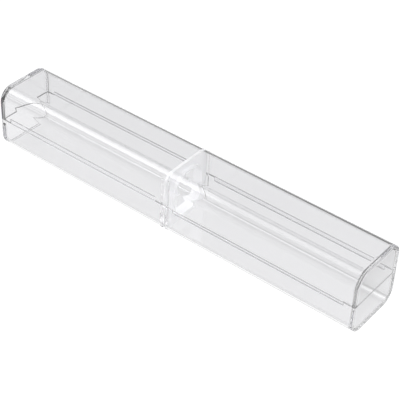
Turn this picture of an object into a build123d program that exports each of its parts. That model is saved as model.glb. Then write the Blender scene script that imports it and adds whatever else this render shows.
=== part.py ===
from build123d import *
from math import radians, tan
import os

os.makedirs("parts", exist_ok=True)

# A clear moulded box for one pen, shown closed. All sizes are in millimetres.
# X runs along the box, Y across it and Z up. The origin is the middle of the face it rests on.
# Base and lid are one and the same moulding: an open half of a rounded-square tube with flat
# ends, parted at mid-height. The lid is the base turned half a turn about Y. On the left half
# of its two long walls the base has a tongue that stands up behind the lid's wall, and on the
# right half a rebate that takes the tongue of the lid.
# At the middle each half holds a pen rest: a plate that stands across the box between four
# ribs, with a round-cornered notch that seats the barrel of the pen and a collar along it.

# Outside of the closed box
box_length = 165.0
box_width = 26.0
box_height = 26.8
edge_radius = 6.0
end_edge_radius = 0.4
wall_draft = 0.2

# Walls
side_wall = 1.4
floor_wall = 1.4
end_wall = 1.3
cavity_radius = 4.0
cavity_end_radius = 0.6

# Tongue and rebate along the seam
tongue_height = 1.5
tongue_thickness = 0.65
tongue_lead = 0.2
tongue_end_gap = 5.0
tongue_middle_gap = 4.4
tongue_side_clearance = 0.05
tongue_top_clearance = 0.1
tongue_end_clearance = 0.2

# Ribs that locate the pen rest
rib_width = 1.1
rib_depth = 0.5
rib_top_drop = 0.3
rib_nose_radius = 0.3

# Pen rest
rest_thickness = 1.2
rest_slot_clearance = 0.05
rest_side_clearance = 0.05
rest_seam_clearance = 0.05
notch_width = 14.0
notch_depth = 8.4
notch_corner_radius = 5.0
collar_thickness = 0.8
collar_length = 4.0

# Worked out from the sizes above
seam_height = box_height / 2
half_length = box_length / 2
half_width = box_width / 2
inner_half_length = half_length - end_wall
inner_half_width = half_width - side_wall


def block(x_range, y_range, z_range):
    """A plain block between two values on each axis."""
    size = [high - low for low, high in (x_range, y_range, z_range)]
    middle = [(low + high) / 2 for low, high in (x_range, y_range, z_range)]
    return Pos(*middle) * Box(*size)


def both_sides(solid):
    """A solid on the front wall together with its mirror image on the back wall."""
    return solid + mirror(solid, about=Plane.XZ)


def trough(half_span, half_width_at_top, low, high, radius):
    """A long bar with a flat floor, two leaning sides and round lower edges."""
    lean = (high - low) * tan(radians(wall_draft))
    outline = make_face(Polyline(
        (-half_width_at_top, high),
        (-half_width_at_top + lean, low),
        (half_width_at_top - lean, low),
        (half_width_at_top, high),
        close=True,
    ))
    outline = fillet(outline.vertices().group_by(Axis.Y)[0], radius)
    return extrude(Plane.YZ * outline, amount=half_span, both=True)


def end_outline(bar, half_span, high):
    """The edges round the two end faces of a bar, apart from those in its top face."""
    tolerance = 1e-3
    return ShapeList(
        edge for edge in bar.edges()
        if abs(abs(edge.center().X) - half_span) < tolerance and edge.center().Z < high - tolerance
    )


def cavity():
    """The room inside one half."""
    bar = trough(inner_half_length, inner_half_width, floor_wall, seam_height, cavity_radius)
    return fillet(end_outline(bar, inner_half_length, seam_height), cavity_end_radius)


def tongues():
    """The two tongues that stand up on the inner side of the long walls."""
    outer_face = -inner_half_width - tongue_thickness
    tongue = block(
        (-half_length + tongue_end_gap, -tongue_middle_gap),
        (outer_face, -inner_half_width),
        (seam_height, seam_height + tongue_height),
    )
    outer_top = tongue.edges().filter_by(Axis.X).group_by(Axis.Z)[-1].sort_by(Axis.Y)[0]
    return both_sides(chamfer(outer_top, tongue_lead))


def rebates():
    """The room that the other half's tongues need, cut into the long walls."""
    outer_face = -inner_half_width - tongue_thickness - tongue_side_clearance
    depth = tongue_height + tongue_top_clearance
    return both_sides(block(
        (tongue_middle_gap - tongue_end_clearance, half_length - tongue_end_gap + tongue_end_clearance),
        (outer_face, -inner_half_width + tongue_thickness),
        (seam_height - depth, seam_height),
    ))


def slot_ribs(room):
    """Four upright ribs, a pair on each long wall, with the pen rest's slot between them."""
    slot_half = rest_thickness / 2 + rest_slot_clearance
    rib = block(
        (slot_half, slot_half + rib_width),
        (-half_width, -inner_half_width + rib_depth),
        (0, seam_height - rib_top_drop),
    )
    nose = rib.edges().filter_by(Axis.Z).group_by(Axis.Y)[-1]
    rib = fillet(nose, rib_nose_radius)
    pair = rib + mirror(rib, about=Plane.YZ)
    return both_sides(pair) & room


def half_shell():
    """One half of the box, as the base lies."""
    shell = trough(half_length, half_width, 0, seam_height, edge_radius)
    shell = fillet(end_outline(shell, half_length, seam_height), end_edge_radius)
    room = cavity()
    return shell - room - rebates() + tongues() + slot_ribs(room)


def notch(wall, length):
    """A bar along the box as wide and deep as the notch, or larger by the given wall."""
    outline = RectangleRounded(
        notch_width + 2 * wall,
        2 * (notch_depth + wall),
        notch_corner_radius + wall,
    )
    return extrude(Plane.YZ * Pos(0, seam_height) * outline, amount=length / 2, both=True)


def pen_rest():
    """The plate that stands in the base and carries the pen at its middle."""
    top = seam_height - rest_seam_clearance
    plate = trough(
        rest_thickness / 2,
        inner_half_width - rest_side_clearance,
        floor_wall,
        top,
        cavity_radius - rest_side_clearance,
    )
    below_top = block((-collar_length, collar_length), (-half_width, half_width), (0, top))
    collar = notch(collar_thickness, collar_length) & below_top
    return plate + collar - notch(0, 2 * collar_length)


def turned_over(solid):
    """The same piece as the lid has it: half a turn about Y through the middle of the box."""
    return Pos(0, 0, box_height) * Rot(0, 180, 0) * solid


base_shell = half_shell()
base_pen_rest = pen_rest()

pieces = {
    "base_shell": base_shell,
    "base_pen_rest": base_pen_rest,
    "lid_shell": turned_over(base_shell),
    "lid_pen_rest": turned_over(base_pen_rest),
}

for name, piece in pieces.items():
    export_step(piece, f"parts/{name}.step")
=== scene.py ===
from math import cos, pi, radians, sin, tan
import bmesh
import bpy
from mathutils import Matrix, Vector


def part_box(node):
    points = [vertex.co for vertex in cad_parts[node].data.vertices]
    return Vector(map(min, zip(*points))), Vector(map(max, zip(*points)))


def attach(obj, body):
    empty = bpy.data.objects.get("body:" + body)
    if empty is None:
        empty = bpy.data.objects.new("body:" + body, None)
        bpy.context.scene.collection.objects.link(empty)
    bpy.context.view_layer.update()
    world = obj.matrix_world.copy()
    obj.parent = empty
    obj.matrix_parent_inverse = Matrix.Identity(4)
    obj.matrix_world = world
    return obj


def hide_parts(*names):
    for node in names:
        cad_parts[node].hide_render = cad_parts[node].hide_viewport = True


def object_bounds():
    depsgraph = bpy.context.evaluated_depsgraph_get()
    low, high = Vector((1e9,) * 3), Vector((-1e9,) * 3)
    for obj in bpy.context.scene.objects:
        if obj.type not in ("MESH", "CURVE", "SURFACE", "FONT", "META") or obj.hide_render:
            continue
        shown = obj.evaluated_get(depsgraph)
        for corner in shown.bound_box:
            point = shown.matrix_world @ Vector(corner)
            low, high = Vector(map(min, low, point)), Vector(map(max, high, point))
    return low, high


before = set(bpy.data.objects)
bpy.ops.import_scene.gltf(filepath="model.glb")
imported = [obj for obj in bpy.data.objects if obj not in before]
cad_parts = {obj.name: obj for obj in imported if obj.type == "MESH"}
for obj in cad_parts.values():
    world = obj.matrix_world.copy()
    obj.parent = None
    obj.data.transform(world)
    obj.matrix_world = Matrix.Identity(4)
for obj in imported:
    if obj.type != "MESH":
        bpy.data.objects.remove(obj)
cad_low, cad_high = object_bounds()


# Base shell
# An open half of a rounded-square tube with flat ends, injection moulded in water-clear
# polystyrene. On the left half of its long walls a tongue stands up behind the lid's wall, and
# on the right half a rebate takes the lid's tongue. Four small ribs locate the pen rest.
mm = 0.001
half_length = (cad_high.x - cad_low.x) / 2
half_width = (cad_high.y - cad_low.y) / 2
box_height = cad_high.z - cad_low.z
seam_height = box_height / 2
edge_radius = 6.0 * mm
end_edge_radius = 0.4 * mm
side_wall = 1.4 * mm
floor_wall = 1.4 * mm
end_wall = 1.3 * mm
cavity_radius = 4.0 * mm
cavity_end_radius = 1.0 * mm
inner_half_length = half_length - end_wall
inner_half_width = half_width - side_wall

tongue_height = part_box("base_shell")[1].z - seam_height
tongue_thickness = 0.65 * mm
tongue_end_gap = 5.0 * mm
tongue_middle_gap = 4.4 * mm
tongue_side_clearance = 0.05 * mm
tongue_top_clearance = 0.1 * mm
tongue_end_clearance = 0.2 * mm

rib_width = 1.1 * mm
rib_depth = 0.5 * mm
rib_top_drop = 0.3 * mm
rest_thickness = 1.2 * mm

# Air between the two halves at the seam
seam_gap = 0.02 * mm
seam_top = seam_height - seam_gap / 2

# Overlap of bonded pieces, which lets light pass from one to the other as a bond does
weld = 0.03 * mm

# How far a cutter or an added block reaches past the face that it meets
overshoot = 1.0 * mm

# How far a rib reaches into the wall, and the height of its foot. Known fault: with this foot the
# root stands 0.24 mm out of the shell's round lower edge. From 2.9 to 3.4 mm it would stay inside.
rib_root = 0.5 * mm
rib_foot = 2.4 * mm

# Flat stretches in a quarter turn, along the box and round its ends
arc_steps = 32
end_steps = 8


def new_object(name, data):
    """A new object of the scene that shows the given data."""
    made = bpy.data.objects.new(name, data)
    bpy.context.scene.collection.objects.link(made)
    return made


def mesh_object(name, points, faces):
    """A mesh in a new object, with its doubled points merged and its faces pointing outwards."""
    merge_distance = 1e-7
    mesh = bpy.data.meshes.new(name)
    mesh.from_pydata(points, [], faces)
    work = bmesh.new()
    work.from_mesh(mesh)
    bmesh.ops.remove_doubles(work, verts=work.verts, dist=merge_distance)
    bmesh.ops.recalc_face_normals(work, faces=work.faces)
    work.to_mesh(mesh)
    work.free()
    return new_object(name, mesh)


def made_plain(piece):
    """Makes what a piece's modifiers give its own plain mesh, and removes the modifiers."""
    shaped = piece.evaluated_get(bpy.context.evaluated_depsgraph_get())
    mesh = bpy.data.meshes.new_from_object(shaped)
    piece.modifiers.clear()
    piece.data = mesh
    return piece


def lofted(name, rings):
    """A solid bar through a row of closed rings, with a flat face at each end."""
    count = len(rings[0])
    points = [point for ring in rings for point in ring]
    faces = [tuple(range(count)), tuple(range(len(points) - count, len(points)))]
    for ring in range(len(rings) - 1):
        for k in range(count):
            here = ring * count + k
            beside = ring * count + (k + 1) % count
            faces.append((here, beside, beside + count, here + count))
    return mesh_object(name, points, faces)


def trough_ring(x, half_across, low, high, radius):
    """One section across a trough: down the front wall, along the floor and up the back wall."""
    ring = [(x, -half_across, high)]
    for side in (-1, 1):
        for step in range(arc_steps + 1):
            turn = pi / 2 * (step if side < 0 else arc_steps - step) / arc_steps
            y = side * (half_across - radius + radius * cos(turn))
            ring.append((x, y, low + radius - radius * sin(turn)))
    ring.append((x, half_across, high))
    return ring


def trough(name, half_span, half_across, low, high, radius, end_radius):
    """A bar with a round-edged floor, whose two ends are rounded too, apart from their top edge."""
    insets = []
    for step in range(end_steps + 1):
        turn = pi / 2 * step / end_steps
        insets.append((half_span - end_radius * (1 - sin(turn)), end_radius * (1 - cos(turn))))
    stations = [(-x, inset) for x, inset in reversed(insets)] + insets
    return lofted(name, [
        trough_ring(x, half_across - inset, low + inset, high, radius - inset)
        for x, inset in stations
    ])


def block(name, x_range, y_range, z_range):
    """A plain block between two values on each axis."""
    points = [(x, y, z) for x in x_range for y in y_range for z in z_range]
    faces = [(0, 1, 3, 2), (4, 6, 7, 5), (0, 4, 5, 1), (2, 3, 7, 6), (0, 2, 6, 4), (1, 5, 7, 3)]
    return mesh_object(name, points, faces)


def joined(body, other, operation):
    """The result of cutting or adding another solid, as one plain mesh; the other one is used up."""
    step = body.modifiers.new("step", "BOOLEAN")
    step.operation = operation
    step.solver = "EXACT"
    step.object = other
    body = made_plain(body)
    bpy.data.objects.remove(other)
    return body


def smoothed(piece):
    """Shades round stretches smooth and flat ones flat, with a crisp edge where they meet at an angle."""
    sharp_angle = radians(35)
    piece.data.shade_smooth()
    piece.data.set_sharp_from_angle(angle=sharp_angle)
    weigh = piece.modifiers.new("even shading", "WEIGHTED_NORMAL")
    weigh.keep_sharp = True
    return made_plain(piece)


def linear(hex_colour):
    """An sRGB hex colour as linear red, green, blue and alpha."""
    channels = [int(hex_colour[k:k + 2], 16) / 255 for k in (0, 2, 4)]
    return [c / 12.92 if c <= 0.04045 else ((c + 0.055) / 1.055) ** 2.4 for c in channels] + [1]


def add_node(tree, kind, settings=None, inputs=None, links=None):
    """Adds a node, sets its settings and input values, and links inputs to other nodes' outputs."""
    node = tree.nodes.new(kind)
    for key, value in (settings or {}).items():
        setattr(node, key, value)
    for key, value in (inputs or {}).items():
        node.inputs[key].default_value = value
    for key, source in (links or {}).items():
        tree.links.new(source, node.inputs[key])
    return node


def new_material(name):
    """A material, its node tree, which is empty but for the output node, and that node."""
    material = bpy.data.materials.new(name)
    material.use_nodes = True
    material.node_tree.nodes.clear()
    return material, material.node_tree, add_node(material.node_tree, "ShaderNodeOutputMaterial")


def finish_plastic(tree, output, plastic, tint):
    """Puts the plastic on the material's output, and lets lamps shine through it with a tint."""
    path = add_node(tree, "ShaderNodeLightPath")
    open_way = add_node(tree, "ShaderNodeBsdfTransparent", inputs={"Color": linear(tint)})
    mixed = add_node(
        tree, "ShaderNodeMixShader",
        links={0: path.outputs["Is Shadow Ray"], 1: plastic.outputs[0], 2: open_way.outputs[0]},
    )
    tree.links.new(mixed.outputs[0], output.inputs["Surface"])


def clear_polystyrene():
    """Water-clear polystyrene out of a polished mould: clear as glass, with faintly wavy walls."""
    wave_length = 25 / 3 * mm
    wave_height = 0.1 * mm
    material, tree, output = new_material("clear polystyrene, polished mould")
    place = add_node(tree, "ShaderNodeTexCoord")
    wave = add_node(
        tree, "ShaderNodeTexNoise",
        inputs={"Scale": 1 / wave_length, "Detail": 2.0, "Roughness": 0.4},
        links={"Vector": place.outputs["Object"]},
    )
    bump = add_node(
        tree, "ShaderNodeBump",
        inputs={"Strength": 0.05, "Distance": wave_height},
        links={"Height": wave.outputs["Fac"]},
    )
    plastic = add_node(
        tree, "ShaderNodeBsdfPrincipled",
        inputs={
            "Base Color": linear("fcfcfd"),
            "Roughness": 0.0,
            "IOR": 1.57,
            "Transmission Weight": 1.0,
        },
        links={"Normal": bump.outputs["Normal"]},
    )
    finish_plastic(tree, output, plastic, "f8f8f8")
    return material


def slot_ribs(name, sizes, material):
    """The four ribs of the pen rest's slot: one block set at each corner of an oblong.

    Geometry Nodes set them. The sizes are the tree's named inputs, in metres.
    """
    tree = bpy.data.node_groups.new("ribs of the pen rest's slot", "GeometryNodeTree")
    tree.interface.new_socket(name="Geometry", in_out="OUTPUT", socket_type="NodeSocketGeometry")
    for label in sizes:
        tree.interface.new_socket(name=label, in_out="INPUT", socket_type="NodeSocketFloat")
    given = add_node(tree, "NodeGroupInput").outputs
    corners = add_node(
        tree, "GeometryNodeMeshGrid", inputs={"Vertices X": 2, "Vertices Y": 2},
        links={"Size X": given["Distance along"], "Size Y": given["Distance across"]},
    )
    size = add_node(
        tree, "ShaderNodeCombineXYZ",
        links={"X": given["Rib width"], "Y": given["Rib depth"], "Z": given["Rib height"]},
    )
    rib = add_node(tree, "GeometryNodeMeshCube", links={"Size": size.outputs[0]})
    ribs = add_node(
        tree, "GeometryNodeInstanceOnPoints",
        links={"Points": corners.outputs["Mesh"], "Instance": rib.outputs["Mesh"]},
    )
    lift = add_node(tree, "ShaderNodeCombineXYZ", links={"Z": given["Middle height"]})
    lifted = add_node(
        tree, "GeometryNodeTransform",
        links={"Geometry": ribs.outputs["Instances"], "Translation": lift.outputs[0]},
    )
    real = add_node(
        tree, "GeometryNodeRealizeInstances", links={"Geometry": lifted.outputs["Geometry"]},
    )
    dressed = add_node(
        tree, "GeometryNodeSetMaterial", inputs={"Material": material},
        links={"Geometry": real.outputs["Geometry"]},
    )
    add_node(tree, "NodeGroupOutput", links={0: dressed.outputs["Geometry"]})
    made = new_object(name, bpy.data.meshes.new(name))
    step = made.modifiers.new("ribs", "NODES")
    step.node_group = tree
    for socket in tree.interface.items_tree:
        if socket.in_out == "INPUT":
            step[socket.identifier] = sizes[socket.name]
    made.update_tag()
    return made_plain(made)


def half_shell(name, material):
    """One half of the box as the base lies, with its tongues, rebates and ribs."""
    shell = trough(name, half_length, half_width, 0, seam_top, edge_radius, end_edge_radius)
    room = trough(
        "room", inner_half_length, inner_half_width, floor_wall, seam_top + overshoot,
        cavity_radius, cavity_end_radius,
    )
    shell = joined(shell, room, "DIFFERENCE")
    tongue_face = inner_half_width + tongue_thickness
    rebate_face = tongue_face + tongue_side_clearance
    rebate_floor = seam_height - tongue_height - tongue_top_clearance
    left = (-half_length + tongue_end_gap, -tongue_middle_gap)
    right = (
        tongue_middle_gap - tongue_end_clearance,
        half_length - tongue_end_gap + tongue_end_clearance,
    )
    for side in (-1, 1):
        across = sorted((side * rebate_face, side * (inner_half_width - overshoot)))
        rebate = block("rebate", right, across, (rebate_floor, seam_top + overshoot))
        shell = joined(shell, rebate, "DIFFERENCE")
    for side in (-1, 1):
        across = sorted((side * tongue_face, side * inner_half_width))
        tongue = block("tongue", left, across, (seam_top - overshoot, seam_height + tongue_height))
        shell = joined(shell, tongue, "UNION")
    rib_top = seam_height - rib_top_drop
    ribs = slot_ribs("ribs", {
        "Distance along": rest_thickness + rib_width - weld,
        "Distance across": 2 * inner_half_width - rib_depth + rib_root,
        "Rib width": rib_width + weld,
        "Rib depth": rib_depth + rib_root,
        "Rib height": rib_top - rib_foot,
        "Middle height": (rib_top + rib_foot) / 2,
    }, material)
    shell = joined(shell, ribs, "UNION")
    shell.data.materials.clear()
    shell.data.materials.append(material)
    return smoothed(shell)


shell_plastic = clear_polystyrene()
base_shell = half_shell("base_clear_shell", shell_plastic)
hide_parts("base_shell")
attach(base_shell, "base")


# Lid shell
# A second one of the same moulding, turned half a turn about Y, so that its tongues stand in the
# rebates of the base. It is only pushed on, and friction at the tongues keeps it shut.
def turned_over(piece):
    """Turns a piece of the base into the lid's: half a turn about Y through the middle of the box."""
    piece.data.transform(Matrix.Translation((0, 0, box_height)) @ Matrix.Rotation(pi, 4, "Y"))
    return piece


lid_shell = turned_over(half_shell("lid_clear_shell", shell_plastic))
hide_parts("lid_shell")
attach(lid_shell, "lid")


# Base pen rest
# A plate across the middle of the base, with a round-cornered notch and a collar that seat the
# pen's barrel. Moulded in milky polystyrene, it stands between the ribs and is bonded to the shell.
notch_half_width = 7.0 * mm
notch_depth = 8.4 * mm
notch_corner_radius = 5.0 * mm
collar_thickness = 0.8 * mm
collar_half_length = 2.0 * mm
cutter_half_length = 3 * collar_half_length


def notch(name, wall, half_span):
    """A bar along the box as wide and deep as the notch, or larger by the given wall."""
    half_across = notch_half_width + wall
    half_high = notch_depth + wall
    radius = notch_corner_radius + wall
    outline = []
    for side, level in ((1, 1), (-1, 1), (-1, -1), (1, -1)):
        steps = range(arc_steps + 1) if side == level else range(arc_steps, -1, -1)
        for step in steps:
            turn = pi / 2 * step / arc_steps
            outline.append((
                side * (half_across - radius + radius * cos(turn)),
                seam_height + level * (half_high - radius + radius * sin(turn)),
            ))
    return lofted(name, [[(x, y, z) for y, z in outline] for x in (-half_span, half_span)])


def pen_rest(name, material):
    """The plate of the base, with its notch and the collar along it."""
    along = (-cutter_half_length, cutter_half_length)
    rest = trough(
        name, rest_thickness / 2, inner_half_width + weld, floor_wall - weld, seam_top,
        cavity_radius + weld, 0,
    )
    rest = joined(rest, notch("collar", collar_thickness, collar_half_length), "UNION")
    rest = joined(rest, notch("notch", 0, cutter_half_length), "DIFFERENCE")
    above = block("above", along, (-half_width, half_width), (seam_top, box_height))
    rest = joined(rest, above, "DIFFERENCE")
    rest.data.materials.clear()
    rest.data.materials.append(material)
    return smoothed(rest)


def milky_polystyrene():
    """Polystyrene with some white in it: the plate shows as a soft white haze in the clear box."""
    material, tree, output = new_material("milky polystyrene, moulded")
    plastic = add_node(
        tree, "ShaderNodeBsdfPrincipled",
        inputs={
            "Base Color": linear("fbfbfc"),
            "Roughness": 0.35,
            "IOR": 1.57,
            "Transmission Weight": 0.57,
        },
    )
    finish_plastic(tree, output, plastic, "e0e0e0")
    return material


rest_plastic = milky_polystyrene()
base_rest = pen_rest("base_pen_seat", rest_plastic)
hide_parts("base_pen_rest")
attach(base_rest, "base")


# Lid pen rest
# The same plate in the lid, upside down. Moulded in milky polystyrene and bonded there too, it
# closes over the pen's barrel from above.
lid_rest = turned_over(pen_rest("lid_pen_seat", rest_plastic))
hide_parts("lid_pen_rest")
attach(lid_rest, "lid")


# Floor
# White paper that the box lies on, white to the camera and pale straight through the box. To a ray
# that a wall has turned it shows a painted pool of light with dark surroundings, which draw the
# edges of clear plastic, and painted shade and light lines under the box's lower long edges.
floor_drop = 0.1 * mm
floor_half = 3.0

# The pool: its falloff away from the box's middle line, moved by a share of the way to the right,
# and a steeper one beyond the right end
pool_slant = 0.3
pool_reach = {"From Min": 45 * mm, "From Max": 130 * mm, "To Min": 1.03, "To Max": 0.18}
right_reach = {"From Min": 78 * mm, "From Max": 100 * mm, "To Min": 1.0, "To Max": 0.3}

# Two painted shadow lines with a painted line of focused light between them, under each lower long
# edge of the box, which shows them: distance from the middle line and brightness
painted_line_zone = (7.0 * mm, 14.0 * mm)
plain_brightness = 0.8
shadow_and_light_edge_lines = ((9.8 * mm, 0.7), (11.55 * mm, 1.0), (12.88 * mm, 0.58))

# The paper is part light and part matt, so that it takes the box's shadow
paper_light = 1.1
light_share = 0.9


def straight_through(tree, path):
    """One for a ray that comes through clear plastic without a reflection, and nought for others."""
    unturned = add_node(
        tree, "ShaderNodeMath", settings={"operation": "LESS_THAN"},
        inputs={1: 0.5}, links={0: path.outputs["Glossy Depth"]},
    )
    straight = add_node(
        tree, "ShaderNodeMath", settings={"operation": "MULTIPLY"},
        links={0: unturned.outputs[0], 1: path.outputs["Is Transmission Ray"]},
    )
    return straight.outputs[0]


def painted_edge_lines(tree, away):
    """Paper brightness near the middle line, with painted shade and light lines under the edges."""
    low, high = painted_line_zone
    zone = add_node(
        tree, "ShaderNodeMapRange", inputs={"From Min": low, "From Max": high}, links={"Value": away},
    )
    lines = add_node(tree, "ShaderNodeValToRGB", links={"Fac": zone.outputs["Result"]})
    ramp = lines.color_ramp
    ramp.interpolation = "EASE"
    for end in ramp.elements:
        end.color = (plain_brightness, plain_brightness, plain_brightness, 1)
    for distance, grey in shadow_and_light_edge_lines:
        ramp.elements.new((distance - low) / (high - low)).color = (grey, grey, grey, 1)
    return lines.outputs["Color"]


def light_pool(tree, along, away):
    """Painted pool of light on the paper, for turned rays: bright round the box, dark far off."""
    slanted = add_node(
        tree, "ShaderNodeMath", settings={"operation": "MULTIPLY_ADD"},
        inputs={1: pool_slant}, links={0: along, 2: away},
    )
    pool = add_node(
        tree, "ShaderNodeMapRange", settings={"interpolation_type": "SMOOTHSTEP"},
        inputs=pool_reach, links={"Value": slanted.outputs[0]},
    )
    right = add_node(
        tree, "ShaderNodeMapRange", settings={"interpolation_type": "SMOOTHSTEP"},
        inputs=right_reach, links={"Value": along},
    )
    both = add_node(
        tree, "ShaderNodeMath", settings={"operation": "MULTIPLY"},
        links={0: pool.outputs["Result"], 1: right.outputs["Result"]},
    )
    return both.outputs[0]


def white_paper():
    """Matt white paper, which takes the object's shadow and looks white to the camera."""
    material, tree, output = new_material("white paper sweep")
    paper = add_node(tree, "ShaderNodeBsdfDiffuse", inputs={"Color": linear("f2f2f2")})
    path = add_node(tree, "ShaderNodeLightPath")
    place = add_node(tree, "ShaderNodeTexCoord")
    split = add_node(tree, "ShaderNodeSeparateXYZ", links={0: place.outputs["Object"]})
    away = add_node(
        tree, "ShaderNodeMath", settings={"operation": "ABSOLUTE"}, links={0: split.outputs["Y"]},
    )
    # Painted light: to rays that are not from the camera the paper glows with a painted pool of light,
    # and with painted shadow lines and a painted line of focused light under the box's edges
    lit = add_node(
        tree, "ShaderNodeMath", settings={"operation": "MAXIMUM"},
        links={
            0: light_pool(tree, split.outputs["X"], away.outputs[0]),
            1: straight_through(tree, path),
        },
    )
    lined = add_node(
        tree, "ShaderNodeMath", settings={"operation": "MULTIPLY"},
        links={0: lit.outputs[0], 1: painted_edge_lines(tree, away.outputs[0])},
    )
    seen = add_node(
        tree, "ShaderNodeMath", settings={"operation": "MAXIMUM"},
        links={0: path.outputs["Is Camera Ray"], 1: lined.outputs[0]},
    )
    strength = add_node(
        tree, "ShaderNodeMath", settings={"operation": "MULTIPLY"},
        inputs={1: paper_light}, links={0: seen.outputs[0]},
    )
    light = add_node(tree, "ShaderNodeEmission", links={"Strength": strength.outputs[0]})
    mixed = add_node(
        tree, "ShaderNodeMixShader", inputs={0: light_share},
        links={1: paper.outputs[0], 2: light.outputs[0]},
    )
    tree.links.new(mixed.outputs[0], output.inputs["Surface"])
    return material


floor = mesh_object(
    "floor",
    [(x, y, -floor_drop) for x, y in (
        (-floor_half, -floor_half), (floor_half, -floor_half),
        (floor_half, floor_half), (-floor_half, floor_half),
    )],
    [(0, 1, 2, 3)],
)
floor.data.materials.append(white_paper())


# Lights
# Long softboxes high beyond the box's left end, which its round edges mirror as highlights, four
# soft lamps for matt surfaces alone, and a dim studio with a few soft bright parts round it.
def towards(azimuth, elevation, distance):
    """A place seen from the object at an azimuth from the front, towards the right, and an elevation."""
    turn, rise = radians(azimuth), radians(elevation)
    return Vector((sin(turn) * cos(rise), -cos(turn) * cos(rise), sin(rise))) * distance


def softbox(name, along, tilt, distance, radiance):
    """A studio light that lies along the box.

    It reaches along X between two values, and between two angles from straight up to the front.
    Its radiance is what a mirror of it would show.
    """
    middle = radians(sum(tilt) / 2)
    lamp = bpy.data.lights.new(name, "AREA")
    lamp.shape = "RECTANGLE"
    lamp.size = along[1] - along[0]
    lamp.size_y = 2 * distance * tan(radians(tilt[1] - tilt[0]) / 2)
    lamp.energy = radiance * pi * lamp.size * lamp.size_y
    holder = new_object(name, lamp)
    holder.location = (sum(along) / 2, -sin(middle) * distance, cos(middle) * distance)
    holder.rotation_euler = (middle, 0, 0)


def fill_lamp(name, azimuth, elevation, distance, level):
    """A soft lamp that only lights matt surfaces; level is what white paper that faces it shows."""
    lamp = bpy.data.lights.new(name, "AREA")
    lamp.size = distance / 2
    lamp.energy = level * pi ** 2 * distance ** 2
    holder = new_object(name, lamp)
    holder.location = towards(azimuth, elevation, distance)
    holder.rotation_euler = holder.location.to_track_quat("Z", "Y").to_euler()
    holder.visible_glossy = False
    holder.visible_transmission = False


def studio_sky(room, through, lobes):
    """A dim room with soft bright parts, each given by azimuth, elevation, tightness and strength.

    The camera sees it white, and through is how bright it is straight through clear plastic.
    """
    world = bpy.data.worlds.new("studio")
    world.use_nodes = True
    tree = world.node_tree
    place = add_node(tree, "ShaderNodeTexCoord")
    total = None
    for azimuth, elevation, tightness, strength in lobes:
        facing = add_node(
            tree, "ShaderNodeVectorMath", settings={"operation": "DOT_PRODUCT"},
            inputs={1: towards(azimuth, elevation, 1)}, links={0: place.outputs["Generated"]},
        )
        above = add_node(
            tree, "ShaderNodeMath", settings={"operation": "MAXIMUM"},
            inputs={1: 0.0}, links={0: facing.outputs["Value"]},
        )
        shaped = add_node(
            tree, "ShaderNodeMath", settings={"operation": "POWER"},
            inputs={1: tightness}, links={0: above.outputs[0]},
        )
        terms = {0: shaped.outputs[0]}
        if total:
            terms[2] = total.outputs[0]
        total = add_node(
            tree, "ShaderNodeMath", settings={"operation": "MULTIPLY_ADD"},
            inputs={1: strength, 2: room}, links=terms,
        )
    path = add_node(tree, "ShaderNodeLightPath")
    direct = add_node(
        tree, "ShaderNodeMath", settings={"operation": "MULTIPLY_ADD"},
        inputs={1: through}, links={0: straight_through(tree, path), 2: path.outputs["Is Camera Ray"]},
    )
    seen = add_node(
        tree, "ShaderNodeMath", settings={"operation": "MAXIMUM"},
        links={0: direct.outputs[0], 1: total.outputs[0]},
    )
    tree.links.new(seen.outputs[0], tree.nodes["Background"].inputs["Strength"])
    tree.nodes["Background"].inputs["Color"].default_value = linear("ffffff")
    bpy.context.scene.world = world


# The upper front edge mirrors the first two as the left part of its highlight, the third as the
# narrower right part and the fourth as the thin line below it
softbox("key softbox", along=(-1.35, -0.744), tilt=(-4, 23), distance=1.5, radiance=1.8)
softbox("key core", along=(-1.35, -0.744), tilt=(3, 22), distance=1.45, radiance=1.4)
softbox("edge softbox", along=(-0.744, -0.33), tilt=(3, 17), distance=1.5, radiance=1.6)
softbox("front strip", along=(-1.35, -0.79), tilt=(42, 52), distance=1.5, radiance=1.0)
for corner in (-135, -45, 45, 135):
    fill_lamp(f"fill lamp {corner}", azimuth=corner, elevation=30, distance=1.6, level=0.52)

# Bright parts: high behind the box, low at the back on the left, and a weak one on the left
studio_sky(room=0.08, through=0.85, lobes=[
    (-180, 45, 10, 0.7),
    (-130, 3, 12, 0.45),
    (-80, 15, 6, 0.2),
])


# Camera
# Its place, direction, roll and lens are fitted to the corners and seams of the box in the
# photograph. Light is followed through many turns, because it runs a long way inside clear walls.
camera_azimuth = 36.92
camera_elevation = 38.47
camera_roll = 2.73
camera_place = Vector((218.42, -281.56, 291.61)) * mm
light_turns = 256
camera_data = bpy.data.cameras.new("camera")
camera_data.lens = 110.86
camera_data.sensor_width = 36.0
camera_data.clip_start = 10 * mm
camera_data.clip_end = 20.0
camera = new_object("camera", camera_data)
camera.location = camera_place
level_view = towards(camera_azimuth, camera_elevation, 1).to_track_quat("Z", "Y").to_matrix()
camera.rotation_euler = (level_view @ Matrix.Rotation(radians(camera_roll), 3, "Z")).to_euler()
bpy.context.scene.camera = camera
bpy.context.scene.view_settings.view_transform = "Standard"
bpy.context.scene.cycles.max_bounces = light_turns
bpy.context.scene.cycles.transmission_bounces = light_turns
bpy.context.scene.cycles.glossy_bounces = light_turns
